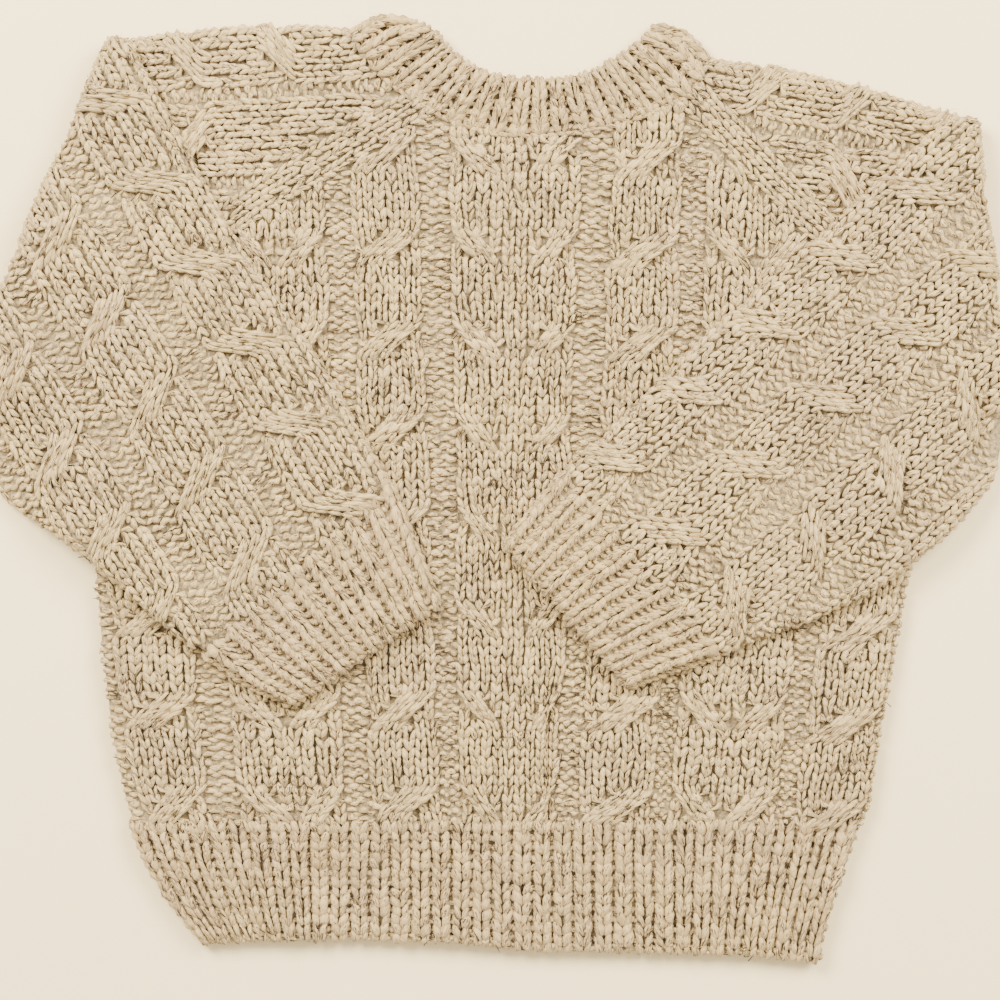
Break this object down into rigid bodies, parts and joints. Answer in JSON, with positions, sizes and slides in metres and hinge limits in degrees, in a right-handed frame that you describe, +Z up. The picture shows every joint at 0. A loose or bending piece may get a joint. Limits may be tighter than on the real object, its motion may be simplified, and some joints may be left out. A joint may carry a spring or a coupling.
{
  "type": "cable knit sweater",
  "caption": "Chunky cable-knit raglan pullover with ribbed crew neck, hem and cuffs, laid flat with both sleeves folded over the front.",
  "frame": {"origin": "middle of the sweater's box in plan, on the surface that it lies on", "axes": "+Z up out of the surface, +Y from the hem to the neck, +X across the body"},
  "size_m": [0.6188, 0.5648, 0.0246],
  "materials": {
    "cable_knit": "matt hairy oatmeal yarn with dark flecks, cabled",
    "rib_knit": "matt hairy oatmeal yarn with dark flecks, ribbed"
  },
  "bodies": {
    "root": {"front": "cable_knit", "back": "cable_knit", "sleeve_left": "cable_knit", "sleeve_right": "cable_knit", "cuff_left": "rib_knit", "cuff_right": "rib_knit", "hem_front": "rib_knit", "hem_back": "rib_knit", "neckband": "rib_knit"}
  },
  "joints": []
}
